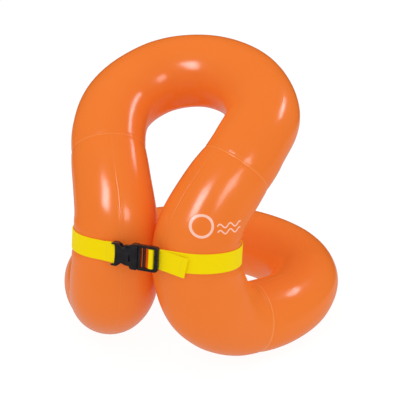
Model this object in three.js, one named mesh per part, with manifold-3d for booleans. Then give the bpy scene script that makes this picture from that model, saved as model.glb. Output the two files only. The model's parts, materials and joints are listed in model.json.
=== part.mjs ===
// Inflatable swim aid for a small child: one endless PVC tube folded into a figure of eight.
// The lower loop is the waist ring, the upper loop is the neck collar, and the two front legs
// between them are drawn together by a webbing belt with a side-release buckle.
// Millimetres, +Z up, front of the wearer towards -Y. The ring rests on Z = 0.

import * as THREE from 'three';
import { mergeVertices } from 'three/addons/utils/BufferGeometryUtils.js';
import Module from 'manifold-3d';

const wasm = await Module();
wasm.setup();

// ---------------------------------------------------------------- driving dimensions

const FIT_GAP = 0.3;                 // between pieces that touch
const CURVE_POINTS = 5;              // straight parts that stand for one curve of an outline
const DEPTH_CENTRE = 135.9;          // middle of the whole depth, moved to Y = 0
const REST_LIFT = 0.42;              // brings the ring's underside to Z = 0

// neck collar: an arc that leans back
const COLLAR_ARC = 98;               // radius of its centre line
const COLLAR_CENTRE = { y: 103, z: 287 };
const COLLAR_TILT = THREE.MathUtils.degToRad(24);
const COLLAR_HALF_ANGLE = THREE.MathUtils.degToRad(109);
const COLLAR_TUBE = 46;              // tube radius

// front legs, right side: centre line points and tube radii
const PINCH = { x: 54.6, y: 1, z: 184, tube: 51.2 };
const CALF = { x: 62.5, y: 8.5, z: 97, tube: 55 };
const HEEL = { x: 90, y: 49, z: 53.5, tube: 48 };

// waist ring: an arc of an ellipse that lies flat
const RING_HALF_WIDTH = 139;
const RING_HALF_DEPTH = 131;
const RING_CENTRE_Y = 160;
const RING_HALF_ANGLE = THREE.MathUtils.degToRad(109);
const RING_TUBE = 44.5;

// stations along the centre line: 0 is the collar's top, 10 the ring's back, 20 the top again
const STATIONS = 20;
const COLLAR_SEAM = 3.25;
const RING_SEAM = 6.32;
const TUBE_SIDES = 24;
const STATION_STEP = 0.2;            // spacing of the cross sections
const SEAM_GAP = 0.6;                // half the space between two chambers
const BULKHEAD = 0.6;                // thickness of the dividing disc
const BULKHEAD_INSET = 0.5;          // its rim lies this far under the tube's surface

// belt and buckle, in a plane square to the legs
const BELT_CENTRE = { x: 54.2, y: 0.3, z: 163 };
const BELT_TILT = THREE.MathUtils.degToRad(-9);
const WEB_WIDTH = 25;
const WEB = 1.5;                     // webbing thickness
const BELT_LINE = 56.6;              // from a leg's centre to the middle of the webbing
const LAYER = WEB + FIT_GAP;         // from one webbing layer to the next
const BELT_START_X = 57;             // clear of the buckle's travel
const LAP_X = -44;                   // where the belt leaves the left leg for the buckle's bar
const TURN_BACK_X = -36;             // behind the bar, the end of the loop round it
const SEWN_END_X = -45;
const KEEPER_WIDTH = 18;
const KEEPER_HALF = 20.5;            // half its height, with a welded foot at each end
const KEEPER_FILM = 1;

// buckle: X = 0 is the mouth of its female half
const BUCKLE_Y = -BELT_LINE - 4.4;   // middle plane of the buckle
const FEMALE_THICK = 9.6;
const FEMALE_WALL = 1.6;
const FEMALE_LENGTH = 34;
const FEMALE_END_HALF = 14.6;
const FEMALE_CORNER = 1.5;
const FLARE = { low: -27, high: -21.5 };
const MOUTH_HALF = 15.9;
const WAIST_HALF = 8.6;
const SLEEVE_LENGTH = 9;
const SLEEVE_HALF = 9.8;
const ARM_BAY_X = -24.6;
const WEB_BAY_X = -26.1;
const WINDOW = { x: [-11, -9.4], z: [-6.5, 1.5] };
const SLOT_HALF = 13;                // half width of every webbing slot
const BAR = { x: -30, y: BUCKLE_Y + 0.8, radius: 1.6 };
const MALE_LENGTH = 26.5;
const MALE_THICK = 6.2;
const MALE_CORNER = 5;
const TONGUE = { length: 20, halfThick: 2.2, halfWidth: 2.6 };
const ARM_THICK = 5.4;

// ladder lock: three slots, with the grip bar between the second and the third
const FRONT_SLOT = { low: 4, high: 7.4 };
const GRIP_SLOT_X = 10;
const GRIP = { low: 13.6, high: 18 };
const LAST_SLOT_X = 21.8;
const GRIP_BACK_Y = BUCKLE_Y + 1.4;
const GRIP_FRONT_Y = BUCKLE_Y - 0.9;

// the belt's free tail
const TAIL_END_X = 62;
const TAIL_DROOP = THREE.MathUtils.degToRad(9.5);
const HEM = 9;

// valves: heights are over the tube's surface
const VALVE_SIDES = 16;
const FLANGE_RADIUS = 12.1;
const FLANGE_SEAT = -2.3;
const FLANGE_FACE = -0.4;
const FLANGE_SKIRT = { radius: 7.5, end: -5 };
const POCKET_RADIUS = 7.9;
const POCKET_DEPTH = -30;
const STEM_TOP = 2.2;
const STEM_FOOT = -18.4;
const STEM_RADIUS = 5.9;
const STEM_FOOT_RADIUS = 7.4;
const STEM_LIP = 1.2;
const BORE = { mouth: 4.2, throat: 3, depth: 6 };
const STRAP = { root: -5.2, halfWidth: 2, thickness: 0.8 };
const LUG_END_X = -9.2;
const PLUG_CAP = { radius: 6, height: 1.6 };
const PLUG_PIN = { radius: 3.5, tip: 2, length: 5.8 };
const PLUG_HINGE = { x: -8.2, z: STEM_TOP + 0.7, radius: 0.55 };
const FLAP = { radius: 5.2, thickness: 0.6, gap: 0.4 };

const VALVES = [
  { name: 'collar', station: 0, facing: [0, 0.95, -0.3] },
  { name: 'right_leg', station: 5.15, facing: [0.35, 0.94, 0] },
  { name: 'left_leg', station: STATIONS - 5.15, facing: [-0.35, 0.94, 0] },
  { name: 'waist_ring', station: STATIONS / 2, facing: [0, 0.95, 0.3] },
];

// ---------------------------------------------------------------- materials

function plain(color, roughness) {
  return new THREE.MeshStandardMaterial({ color, roughness, metalness: 0 });
}
const film = () => plain(0xf0752c, 0.25);
const webbing = () => plain(0xf5dc00, 0.8);
const blackPlastic = () => plain(0x1a1a1e, 0.45);
const clearPvc = () => plain(0xe9ded2, 0.3);

// ---------------------------------------------------------------- solids and joins

function solid(geometry) {
  const bare = geometry.clone();
  bare.deleteAttribute('normal');
  bare.deleteAttribute('uv');
  const merged = mergeVertices(bare, 1e-4);
  return new wasm.Manifold(new wasm.Mesh({
    numProp: 3,
    vertProperties: new Float32Array(merged.attributes.position.array),
    triVerts: new Uint32Array(merged.index.array),
  }));
}

function geometryOf(body) {
  const mesh = body.getMesh();
  const geometry = new THREE.BufferGeometry();
  geometry.setAttribute('position', new THREE.Float32BufferAttribute(mesh.vertProperties, 3));
  geometry.setIndex(Array.from(mesh.triVerts));
  geometry.computeVertexNormals();
  return geometry;
}

function join(...parts) {
  return geometryOf(parts.map(solid).reduce((sum, part) => sum.add(part)));
}

function cut(base, ...tools) {
  return geometryOf(tools.map(solid).reduce((rest, tool) => rest.subtract(tool), solid(base)));
}

function block(x0, x1, y0, y1, z0, z1) {
  const box = new THREE.BoxGeometry(x1 - x0, y1 - y0, z1 - z0);
  return box.translate((x0 + x1) / 2, (y0 + y1) / 2, (z0 + z1) / 2);
}

// a turned piece about +Z from a profile of [radius, height] points
function turned(profile) {
  const points = profile.map(([radius, height]) => new THREE.Vector2(radius, height));
  return new THREE.LatheGeometry(points, VALVE_SIDES).rotateX(Math.PI / 2);
}

function extruded(shape, depth) {
  return new THREE.ExtrudeGeometry(shape, { depth, bevelEnabled: false });
}

// an outline in X and Z made into a plate, with its back at yBack
function plate(outline, yBack, thickness) {
  return extruded(outline, thickness).rotateX(Math.PI / 2).translate(0, yBack, 0);
}

// an outline that is the same above and below Z = 0, from the path of its upper half
function mirroredOutline(upperPath) {
  const upper = upperPath.getPoints(CURVE_POINTS);
  const lower = upper.map(({ x, y }) => new THREE.Vector2(x, -y)).reverse();
  return new THREE.Shape([...upper, ...lower]);
}

// a strip of webbing on edge: a path in X and Y, thick across it and WEB_WIDTH tall in Z
function ribbon(path) {
  const left = [];
  const right = [];
  path.forEach((point, i) => {
    const before = path[Math.max(i - 1, 0)];
    const after = path[Math.min(i + 1, path.length - 1)];
    const inward = point.clone().sub(before).normalize();
    const outward = after.clone().sub(point).normalize();
    const along = inward.clone().add(outward).normalize();
    const isEnd = i === 0 || i === path.length - 1;
    const stretch = isEnd ? 1 : 1 / Math.max(along.dot(outward), 0.5);
    const offset = new THREE.Vector2(-along.y, along.x).multiplyScalar((WEB / 2) * stretch);
    left.push(point.clone().add(offset));
    right.unshift(point.clone().sub(offset));
  });
  return extruded(new THREE.Shape([...left, ...right]), WEB_WIDTH).translate(0, 0, -WEB_WIDTH / 2);
}

function arcPoints(cx, cy, radius, from, to, count) {
  return Array.from({ length: count + 1 }, (_, i) => {
    const angle = THREE.MathUtils.degToRad(from + ((to - from) * i) / count);
    return new THREE.Vector2(cx + radius * Math.cos(angle), cy + radius * Math.sin(angle));
  });
}

// ---------------------------------------------------------------- the folded tube

function collarPoint(share) {
  const angle = COLLAR_HALF_ANGLE * share;
  const back = COLLAR_ARC * Math.cos(angle);
  return new THREE.Vector3(
    COLLAR_ARC * Math.sin(angle),
    COLLAR_CENTRE.y + back * Math.cos(COLLAR_TILT),
    COLLAR_CENTRE.z + back * Math.sin(COLLAR_TILT),
  );
}

function ringPoint(share) {
  const angle = RING_HALF_ANGLE * share;
  return new THREE.Vector3(
    RING_HALF_WIDTH * Math.sin(angle),
    RING_CENTRE_Y + RING_HALF_DEPTH * Math.cos(angle),
    RING_TUBE,
  );
}

const THIRDS = [0, 1 / 3, 2 / 3, 1];
const rightHalf = [
  ...THIRDS.map(collarPoint),
  ...[PINCH, CALF, HEEL].map(({ x, y, z }) => new THREE.Vector3(x, y, z)),
  ...THIRDS.map((share) => ringPoint(1 - share)),
];
const rightRadii = [
  ...THIRDS.map(() => COLLAR_TUBE),
  ...[PINCH, CALF, HEEL].map(({ tube }) => tube),
  ...THIRDS.map(() => RING_TUBE),
];
const mirrored = (point) => new THREE.Vector3(-point.x, point.y, point.z);
const leftHalf = rightHalf.slice(1, -1).reverse().map(mirrored);
const centreLine = new THREE.CatmullRomCurve3([...rightHalf, ...leftHalf], true, 'centripetal');
const radiusLine = new THREE.CatmullRomCurve3(
  [...rightRadii, ...rightRadii.slice(1, -1).reverse()].map((r) => new THREE.Vector3(r, 0, 0)),
  true,
  'catmullrom',
);

// centre, direction, side vectors and radius at a station of the right half, 0 to 10;
// the side vectors are carried along from the collar's top without twist
function rightFrame(station) {
  const side = new THREE.Vector3(0, 0, 1);
  const count = Math.max(1, Math.ceil(station / 0.05));
  const along = new THREE.Vector3();
  for (let i = 0; i <= count; i += 1) {
    centreLine.getTangent((station * i) / count / STATIONS, along);
    side.addScaledVector(along, -side.dot(along)).normalize();
  }
  return {
    centre: centreLine.getPoint(station / STATIONS),
    along,
    side,
    across: along.clone().cross(side),
    radius: radiusLine.getPoint(station / STATIONS).x,
  };
}

// the left half is the right half's mirror image
function frameAt(station) {
  const onLeft = station < 0 || station > STATIONS / 2;
  if (!onLeft) return rightFrame(station);
  const twin = rightFrame(station < 0 ? -station : STATIONS - station);
  return {
    centre: mirrored(twin.centre),
    along: mirrored(twin.along).negate(),
    side: mirrored(twin.side),
    across: mirrored(twin.across),
    radius: twin.radius,
  };
}

function section(frame, shift = 0, radius = frame.radius) {
  return Array.from({ length: TUBE_SIDES }, (_, i) => {
    const angle = (2 * Math.PI * i) / TUBE_SIDES;
    return frame.centre.clone()
      .addScaledVector(frame.along, shift)
      .addScaledVector(frame.side, radius * Math.cos(angle))
      .addScaledVector(frame.across, radius * Math.sin(angle));
  });
}

// closed skin over a row of sections, with flat ends
function loft(sections) {
  const sides = sections[0].length;
  const middles = [sections[0], sections.at(-1)].map((points) => {
    const sum = points.reduce((total, point) => total.add(point), new THREE.Vector3());
    return sum.divideScalar(sides);
  });
  const points = [...sections.flat(), ...middles];
  const firstMiddle = sections.length * sides;
  const lastRow = (sections.length - 1) * sides;
  const faces = [];
  for (let j = 0; j < sides; j += 1) {
    const k = (j + 1) % sides;
    for (let row = 0; row < lastRow; row += sides) {
      faces.push(row + j, row + k, row + sides + j);
      faces.push(row + k, row + sides + k, row + sides + j);
    }
    faces.push(firstMiddle, k, j);
    faces.push(firstMiddle + 1, lastRow + j, lastRow + k);
  }
  const geometry = new THREE.BufferGeometry().setFromPoints(points);
  geometry.setIndex(faces);
  geometry.computeVertexNormals();
  return geometry;
}

function chamber(from, to) {
  const count = Math.round((to - from) / STATION_STEP);
  const first = frameAt(from);
  const last = frameAt(to);
  const sections = [section(first, SEAM_GAP)];
  for (let i = 1; i < count; i += 1) {
    sections.push(section(frameAt(from + ((to - from) * i) / count)));
  }
  sections.push(section(last, -SEAM_GAP));
  return loft(sections);
}

function bulkhead(station) {
  const frame = frameAt(station);
  const radius = frame.radius - BULKHEAD_INSET;
  return loft([section(frame, -BULKHEAD / 2, radius), section(frame, BULKHEAD / 2, radius)]);
}

// ---------------------------------------------------------------- valves

// a valve's own frame: origin on the tube's surface, +Z out of the tube, +X along it
function valvePlace({ station, facing }) {
  const frame = frameAt(station);
  const out = new THREE.Vector3(...facing);
  out.addScaledVector(frame.along, -out.dot(frame.along)).normalize();
  const across = out.clone().cross(frame.along);
  const place = new THREE.Matrix4().makeBasis(frame.along, across, out);
  return place.setPosition(frame.centre.clone().addScaledVector(out, frame.radius));
}

function valvePocket() {
  const rim = FLANGE_RADIUS + 0.4;
  const open = 6;
  return turned([
    [0, POCKET_DEPTH], [POCKET_RADIUS, POCKET_DEPTH], [POCKET_RADIUS, FLANGE_SEAT],
    [rim, FLANGE_SEAT], [rim, open], [0, open],
  ]);
}

function valveFlange() {
  const bore = STEM_RADIUS + 0.4;
  const { radius, end } = FLANGE_SKIRT;
  const seat = FLANGE_SEAT + FIT_GAP;
  return turned([
    [bore, end], [radius, end], [radius, seat], [FLANGE_RADIUS, seat],
    [FLANGE_RADIUS, -1.2], [10.8, FLANGE_FACE], [bore, FLANGE_FACE], [bore, end],
  ]);
}

function valveStem() {
  const { mouth, throat, depth } = BORE;
  const lipTop = STEM_FOOT + STEM_LIP;
  const tube = turned([
    [throat, STEM_FOOT], [STEM_FOOT_RADIUS, STEM_FOOT], [STEM_FOOT_RADIUS, lipTop],
    [STEM_RADIUS, lipTop], [STEM_RADIUS, STEM_TOP], [mouth, STEM_TOP],
    [throat, STEM_TOP - depth], [throat, STEM_FOOT],
  ]);
  const { root, halfWidth } = STRAP;
  const lug = block(LUG_END_X, root, -halfWidth, halfWidth, STEM_TOP - 1.6, STEM_TOP - 0.3);
  return join(tube, lug);
}

function valvePlug() {
  const base = STEM_TOP + FIT_GAP;
  const top = base + PLUG_CAP.height;
  const edge = 0.5;
  const stopper = turned([
    [0, base - PLUG_PIN.length], [PLUG_PIN.tip, base - PLUG_PIN.length], [PLUG_PIN.radius, base],
    [PLUG_CAP.radius, base], [PLUG_CAP.radius, top - edge], [PLUG_CAP.radius - edge, top], [0, top],
  ]);
  const { root, halfWidth, thickness } = STRAP;
  const tether = block(PLUG_HINGE.x, root, -halfWidth, halfWidth, base, base + thickness);
  const knuckle = new THREE.CylinderGeometry(PLUG_HINGE.radius, PLUG_HINGE.radius, 2 * halfWidth, 10);
  knuckle.translate(PLUG_HINGE.x, 0, PLUG_HINGE.z);
  return join(stopper, tether, knuckle);
}

function valveFlap() {
  const top = STEM_FOOT - FLAP.gap;
  const bottom = top - FLAP.thickness;
  return turned([[0, bottom], [FLAP.radius, bottom], [FLAP.radius, top], [0, top]]);
}

// ---------------------------------------------------------------- belt

function beltWebbing() {
  const { x } = BELT_CENTRE;
  const startAngle = -90 + THREE.MathUtils.radToDeg((BELT_START_X - x) / BELT_LINE);
  const loopRadius = BAR.radius + 0.35 + WEB / 2;
  const path = [
    ...arcPoints(x, 0, BELT_LINE, startAngle, 90, 20),
    ...arcPoints(-x, 0, BELT_LINE, 90, 266, 20),
    new THREE.Vector2(LAP_X, -BELT_LINE - LAYER),
    ...arcPoints(BAR.x, BAR.y, loopRadius, -100, 90, 8),
    new THREE.Vector2(TURN_BACK_X, -BELT_LINE - 0.05),
    new THREE.Vector2(SEWN_END_X, -BELT_LINE + 0.15),
  ];
  return ribbon(path);
}

// the run between the ladder lock and the rest of the belt, slack when the buckle opens
function beltFrontRun() {
  return ribbon([
    new THREE.Vector2(11, -BELT_LINE),
    new THREE.Vector2(BELT_CENTRE.x, -BELT_LINE),
    new THREE.Vector2(BELT_START_X - FIT_GAP, -BELT_LINE + 0.06),
  ]);
}

// the webbing over the ladder lock's grip bar
function lockLoop() {
  const under = -BELT_LINE - LAYER;
  const over = BUCKLE_Y - 2.05;
  const bend = 1.4;
  const up = GRIP.low - 1.8;
  const down = GRIP.high + 1.7;
  return ribbon([
    new THREE.Vector2(up, -BELT_LINE - WEB / 2 - FIT_GAP),
    new THREE.Vector2(up, over + bend),
    new THREE.Vector2(up + bend, over),
    new THREE.Vector2(down - bend, over),
    new THREE.Vector2(down, over + bend),
    new THREE.Vector2(down + 0.3, BUCKLE_Y + 1.3),
    new THREE.Vector2(down + 1.7, under),
    new THREE.Vector2(MALE_LENGTH + 1, under),
  ]);
}

// the webbing through the ladder lock and its free tail with a hemmed end
function beltTail() {
  const under = -BELT_LINE - LAYER;
  const halfWidth = WEB_WIDTH / 2;
  const length = (TAIL_END_X - MALE_LENGTH) / Math.cos(TAIL_DROOP);
  const strap = block(-2, length, under - WEB / 2, under + WEB / 2, -halfWidth, halfWidth);
  const hem = block(length - HEM, length, under - 1.5 * WEB, under, -halfWidth, halfWidth);
  const tail = join(strap, hem).rotateY(TAIL_DROOP).translate(MALE_LENGTH, 0, 0);
  return join(lockLoop(), tail);
}

// a film bridge on the back of a leg, with the belt passing through it
function beltKeeper() {
  const foot = BELT_LINE + 1.3;
  const bridge = BELT_LINE + WEB / 2 + 0.5;
  const footEnd = 17;
  const bridgeEnd = 14.5;
  const upper = [
    [bridge + KEEPER_FILM, bridgeEnd], [foot + KEEPER_FILM, footEnd],
    [foot + KEEPER_FILM, KEEPER_HALF], [foot, KEEPER_HALF], [foot, footEnd - 0.4],
    [bridge, bridgeEnd - 0.9],
  ];
  const lower = upper.map(([y, z]) => [y, -z]).reverse();
  const shape = new THREE.Shape([...upper, ...lower].map(([y, z]) => new THREE.Vector2(y, z)));
  // the outline's first axis becomes Y, its second Z, and its depth X
  const turn = new THREE.Matrix4().makeBasis(
    new THREE.Vector3(0, 1, 0),
    new THREE.Vector3(0, 0, 1),
    new THREE.Vector3(1, 0, 0),
  );
  return extruded(shape, KEEPER_WIDTH).applyMatrix4(turn).translate(-KEEPER_WIDTH / 2, 0, 0);
}

// ---------------------------------------------------------------- buckle

function femaleOutline() {
  const rim = -SLEEVE_LENGTH;
  const end = -FEMALE_LENGTH;
  const upper = new THREE.Path();
  upper.moveTo(0, MOUTH_HALF);
  upper.lineTo(rim + 2, MOUTH_HALF);
  upper.quadraticCurveTo(rim, MOUTH_HALF, rim - 1, MOUTH_HALF - 3);
  upper.bezierCurveTo(-12, WAIST_HALF, -18, WAIST_HALF - 0.5, FLARE.high, WAIST_HALF + 2.2);
  upper.quadraticCurveTo(-24, FEMALE_END_HALF - 1.6, FLARE.low, FEMALE_END_HALF);
  upper.lineTo(end + FEMALE_CORNER, FEMALE_END_HALF);
  upper.lineTo(end, FEMALE_END_HALF - FEMALE_CORNER);
  return mirroredOutline(upper);
}

function buckleFemale() {
  const back = BUCKLE_Y + FEMALE_THICK / 2;
  const front = BUCKLE_Y - FEMALE_THICK / 2;
  const innerBack = back - FEMALE_WALL;
  const innerFront = front + FEMALE_WALL;
  const rim = -SLEEVE_LENGTH;
  const body = plate(femaleOutline(), back, FEMALE_THICK);
  const sleeve = block(rim - 1, 1, innerFront, innerBack, -SLEEVE_HALF, SLEEVE_HALF);
  const armBay = block(ARM_BAY_X, rim, innerFront, innerBack, -20, 20);
  const webBay = block(-FEMALE_LENGTH - 1, WEB_BAY_X, innerFront, back + 1, -SLOT_HALF, SLOT_HALF);
  const window = block(...WINDOW.x, front - 1, innerFront + 0.5, ...WINDOW.z);
  const bar = new THREE.CylinderGeometry(BAR.radius, BAR.radius, 2 * SLOT_HALF + 1, 12);
  bar.rotateX(Math.PI / 2).translate(BAR.x, BAR.y, 0);
  return join(cut(body, sleeve, armBay, webBay, window), bar);
}

function maleOutline() {
  const upper = new THREE.Path();
  upper.moveTo(FIT_GAP, MOUTH_HALF);
  upper.lineTo(MALE_LENGTH - MALE_CORNER, MOUTH_HALF);
  upper.quadraticCurveTo(MALE_LENGTH, MOUTH_HALF, MALE_LENGTH, MOUTH_HALF - MALE_CORNER);
  return mirroredOutline(upper);
}

function buckleMale() {
  const back = BUCKLE_Y + MALE_THICK / 2;
  const front = BUCKLE_Y - MALE_THICK / 2;
  const slotSpans = [
    [FRONT_SLOT.low, FRONT_SLOT.high],
    [GRIP_SLOT_X, GRIP.low],
    [GRIP.high, LAST_SLOT_X],
  ];
  const slots = slotSpans.map(([low, high]) => (
    block(low, high, front - 1, back + 1, -SLOT_HALF, SLOT_HALF)
  ));
  const bays = [
    block(GRIP_SLOT_X - 0.1, MALE_LENGTH + 1, GRIP_BACK_Y, back + 1, -SLOT_HALF, SLOT_HALF),
    block(GRIP_SLOT_X - 0.1, LAST_SLOT_X - 0.1, front - 1, GRIP_FRONT_Y, -SLOT_HALF, SLOT_HALF),
  ];
  const frame = cut(plate(maleOutline(), back, MALE_THICK), ...slots, ...bays);
  const { length, halfThick, halfWidth } = TONGUE;
  const tongue = block(-length, 1, BUCKLE_Y - halfThick, BUCKLE_Y + halfThick, -halfWidth, halfWidth);
  return join(frame, tongue);
}

// one of the two sprung arms: a beam from the male base to a pad behind the sleeve
function buckleArm() {
  const shape = new THREE.Shape();
  shape.moveTo(0, 6.2);
  shape.lineTo(0, 9.2);
  shape.lineTo(-9.5, 9.2);
  shape.lineTo(-9.6, 11);
  shape.quadraticCurveTo(-13, 11.4, -17, 10.6);
  shape.quadraticCurveTo(-22, 9.6, -23.6, 6.6);
  shape.lineTo(-23.2, 5.4);
  shape.lineTo(-11, 5.8);
  shape.lineTo(-9, 6.2);
  return plate(new THREE.Shape(shape.getPoints(CURVE_POINTS)), BUCKLE_Y + ARM_THICK / 2, ARM_THICK);
}

// ---------------------------------------------------------------- assembly

const swimAid = new THREE.Group();
swimAid.position.set(0, -DEPTH_CENTRE, REST_LIFT);

function addMesh(parent, name, geometry, material) {
  const mesh = new THREE.Mesh(geometry, material);
  mesh.name = name;
  parent.add(mesh);
  return mesh;
}

function addTube() {
  const spans = {
    collar: [-COLLAR_SEAM, COLLAR_SEAM],
    right_leg: [COLLAR_SEAM, RING_SEAM],
    left_leg: [STATIONS - RING_SEAM, STATIONS - COLLAR_SEAM],
    waist_ring: [RING_SEAM, STATIONS - RING_SEAM],
  };
  VALVES.forEach((valve) => {
    const pocket = valvePocket().applyMatrix4(valvePlace(valve));
    addMesh(swimAid, `${valve.name}_chamber`, cut(chamber(...spans[valve.name]), pocket), film());
  });
  const seams = {
    right_collar: COLLAR_SEAM,
    right_ring: RING_SEAM,
    left_ring: STATIONS - RING_SEAM,
    left_collar: STATIONS - COLLAR_SEAM,
  };
  Object.entries(seams).forEach(([name, station]) => {
    addMesh(swimAid, `${name}_bulkhead`, bulkhead(station), film());
  });
}

function addValves() {
  VALVES.forEach((valve) => {
    const place = new THREE.Group();
    place.applyMatrix4(valvePlace(valve));
    swimAid.add(place);
    addMesh(place, `${valve.name}_valve_flange`, valveFlange(), film());
    addMesh(place, `${valve.name}_valve_stem`, valveStem(), clearPvc());
    addMesh(place, `${valve.name}_valve_plug`, valvePlug(), clearPvc());
    addMesh(place, `${valve.name}_valve_flap`, valveFlap(), clearPvc());
  });
}

function addBelt() {
  const belt = new THREE.Group();
  belt.position.set(0, BELT_CENTRE.y, BELT_CENTRE.z);
  belt.rotation.x = BELT_TILT;
  swimAid.add(belt);
  addMesh(belt, 'belt_webbing', beltWebbing(), webbing());
  addMesh(belt, 'belt_front_run', beltFrontRun(), webbing());
  addMesh(belt, 'belt_tail', beltTail(), webbing());
  addMesh(belt, 'right_belt_keeper', beltKeeper(), film()).position.x = BELT_CENTRE.x;
  addMesh(belt, 'left_belt_keeper', beltKeeper(), film()).position.x = -BELT_CENTRE.x;
  addMesh(belt, 'buckle_female', buckleFemale(), blackPlastic());
  addMesh(belt, 'buckle_male', buckleMale(), blackPlastic());
  addMesh(belt, 'buckle_upper_arm', buckleArm(), blackPlastic());
  addMesh(belt, 'buckle_lower_arm', buckleArm(), blackPlastic()).rotation.x = Math.PI;
  belt.children.at(-1).position.y = 2 * BUCKLE_Y;
}

addTube();
addValves();
addBelt();

export default swimAid;
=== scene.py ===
"""Looks of an inflatable swim aid: an endless PVC tube folded into a waist ring and a neck collar,
with a webbing belt, a side-release buckle and four valves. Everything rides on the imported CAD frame."""

import json
import math
from contextlib import contextmanager

import bmesh
import bpy
import numpy as np
from mathutils import Matrix, Vector
from mathutils.bvhtree import BVHTree


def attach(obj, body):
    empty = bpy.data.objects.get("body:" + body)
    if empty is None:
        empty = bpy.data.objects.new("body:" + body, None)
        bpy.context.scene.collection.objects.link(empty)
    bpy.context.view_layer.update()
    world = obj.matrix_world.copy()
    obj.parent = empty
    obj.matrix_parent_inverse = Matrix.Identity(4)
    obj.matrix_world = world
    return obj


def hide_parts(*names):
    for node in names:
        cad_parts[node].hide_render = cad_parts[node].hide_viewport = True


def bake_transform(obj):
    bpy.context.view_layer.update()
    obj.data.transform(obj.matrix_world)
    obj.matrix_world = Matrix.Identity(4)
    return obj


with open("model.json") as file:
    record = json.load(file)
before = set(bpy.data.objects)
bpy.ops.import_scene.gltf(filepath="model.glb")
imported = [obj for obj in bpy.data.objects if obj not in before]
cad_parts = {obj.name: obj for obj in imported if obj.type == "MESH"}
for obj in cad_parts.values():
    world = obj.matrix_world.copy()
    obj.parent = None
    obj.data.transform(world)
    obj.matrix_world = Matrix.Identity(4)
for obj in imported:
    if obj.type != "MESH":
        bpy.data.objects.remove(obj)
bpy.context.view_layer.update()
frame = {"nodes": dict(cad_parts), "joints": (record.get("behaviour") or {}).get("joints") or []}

joints = {joint["name"]: joint for joint in frame["joints"]}
MM = 0.001
MM_TO_METRES = Matrix.Scale(MM, 4)

# ---------------- the folded tube's shape, in mm
# the same driving dimensions as the CAD part's, which the chambers' boxes can't give

SHIFT = np.array([0, -135.9, 0.42])  # the design's origin to the object's origin
COLLAR_ARC, COLLAR_TUBE = 98, 46
COLLAR_CENTRE_Y, COLLAR_CENTRE_Z = 103, 287
COLLAR_TILT, COLLAR_HALF_ANGLE = math.radians(24), math.radians(109)
LEG_POINTS = [(54.6, 1, 184), (62.5, 8.5, 97), (90, 49, 53.5)]
LEG_TUBES = [51.2, 55, 48]
RING_HALF_WIDTH, RING_HALF_DEPTH, RING_CENTRE_Y, RING_TUBE = 139, 131, 160, 44.5
RING_HALF_ANGLE = math.radians(109)
STATIONS = 20
COLLAR_SEAM, RING_SEAM = 3.25, 6.32
SWELL = 0.8  # how much the film bulges out between its welds
UNEVENNESS, RIPPLE = 0.3, 0.04
CREASE_DEPTH, CREASE_SPACING = 0.55, 11  # on the inside of the bends
PINCH_STATION, PINCH_REACH = 4.36, 0.42  # where the legs press on each other
PINCH_PUSH, PINCH_GAP = 1.9, 0.25

# ---------------- belt and buckle sizes, in mm
LEG_AXIS_X = 54.2  # from the middle plane to a leg's axis, in the belt's plane
BELT_LINE = 56.6  # from that axis to the middle of the webbing, front and back
BELT_SIDE_LINE = 54.3  # the same at the outer side, where the belt is pulled in
WEB_WIDTH, WEB = 25, 1.5
LAYER = WEB + 0.3
BELT_START_X = 57
TAIL_END_X = 62
TAIL_DROOP = math.radians(9.5)
HEM = 9
HELD_REACH, HELD_FADE = 19, 7  # the belt holds the film so far above and below its middle
BULGE, BULGE_HEIGHT, BULGE_REACH = 0.9, 21, 6  # and the film swells so much beyond

BUCKLE_Y = -61.0  # middle plane of the buckle; its mouth is at X = 0
FEMALE_HALF, FEMALE_WALL = 4.8, 1.6  # half thickness, and the two plates' own thickness
FEMALE_LENGTH, FEMALE_END_HALF = 34, 14.6
MOUTH_HALF, WAIST_HALF = 15.9, 8.6
SLEEVE_LENGTH, SLEEVE_HALF, SLOT_HALF = 9, 9.8, 13
BAR_X, BAR_Y, BAR_RADIUS = -30, BUCKLE_Y + 0.8, 1.6
MALE_LENGTH, MALE_HALF, MALE_CORNER = 26.5, 3.1, 5
GRIP_LOW, GRIP_HIGH, LAST_SLOT_END = 15, 18, 21.8
GRIP_FRONT, GRIP_BACK = BUCKLE_Y - 0.9, BUCKLE_Y + 1.4
LOOP_X = 13.9  # where the webbing comes up through the ladder lock

# ---------------- valve sizes, in mm over the film
HINGE_X, HINGE_Z = -8.2, 2.9
FLANGE_RADIUS, FLANGE_BORE, FILM_HOLE = 12.1, 6.3, 8.6
FLANGE_FOOT = -5.0  # lower end of the flange's skirt, inside the tube
VALVE_DISH, VALVE_DISH_REACH = 1.6, 17  # depth and width of the dish round a valve
STEM_RADIUS, STEM_TOP, STEM_FOOT = 5.9, 2.2, -18.4
VALVE_NAMES = ("collar", "right_leg", "left_leg", "waist_ring")

# printed ring and waves, in mm on a plane before the right leg
RING_MARK, RING_MARK_X, RING_MARK_Y = 13, -16.5, -3.5
WAVE_START, WAVE_END, WAVE_HEIGHTS = 2, 35, (-6, -13.5)


def frame_matrix(x_axis, y_axis, z_axis, origin):
    """Places a piece drawn in mm into the object's frame in metres."""
    turn = Matrix((x_axis, y_axis, z_axis)).transposed().to_4x4()
    return Matrix.Translation(origin) @ turn @ MM_TO_METRES


def pointing(place, *local):
    """A direction in a placed piece's own frame, as a unit vector in the object's."""
    return (place.to_3x3() @ Vector(local)).normalized()


def belt_frame():
    """The belt's own frame, found from the two release arms' hinge lines in the record."""
    upper, lower = (Vector(joints[f"{side}_arm_press"]["pos_m"]) for side in ("upper", "lower"))
    z_axis = (upper - lower).normalized()
    y_axis = -Vector(joints["upper_arm_press"]["axis"]).normalized()
    x_axis = y_axis.cross(z_axis)
    hinge = (upper + lower) / 2
    origin = hinge + MM * (0.5 * x_axis - BUCKLE_Y * y_axis)
    return frame_matrix(x_axis, y_axis, z_axis, origin)


BELT = belt_frame()


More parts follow.
